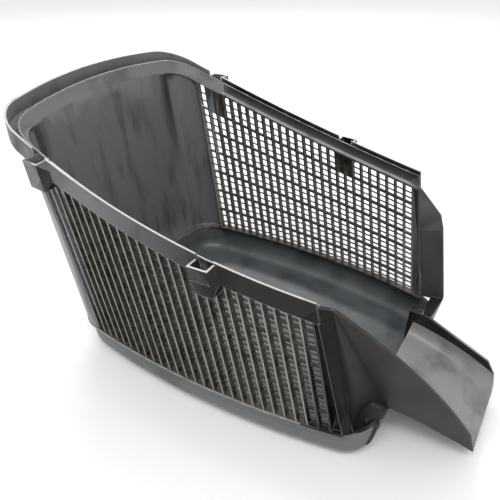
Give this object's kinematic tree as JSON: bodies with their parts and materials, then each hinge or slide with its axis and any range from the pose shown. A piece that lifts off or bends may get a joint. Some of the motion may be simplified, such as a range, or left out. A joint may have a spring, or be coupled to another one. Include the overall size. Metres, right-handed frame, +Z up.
{
  "type": "mower grass box",
  "caption": "Open plastic tub of a mower grass box with slotted side walls, a grooved rim, clip pockets and a chute at the mouth.",
  "frame": {"origin": "middle of the flat underside the tub stands on", "axes": "+Z up, +X from the high back wall towards the open mouth and chute, +Y towards the plain side"},
  "size_m": [0.5048, 0.3188, 0.2865],
  "materials": {
    "black_plastic": "satin black polypropylene, worn and dusty"
  },
  "bodies": {
    "root": {"grass_box": "black_plastic"}
  },
  "joints": []
}
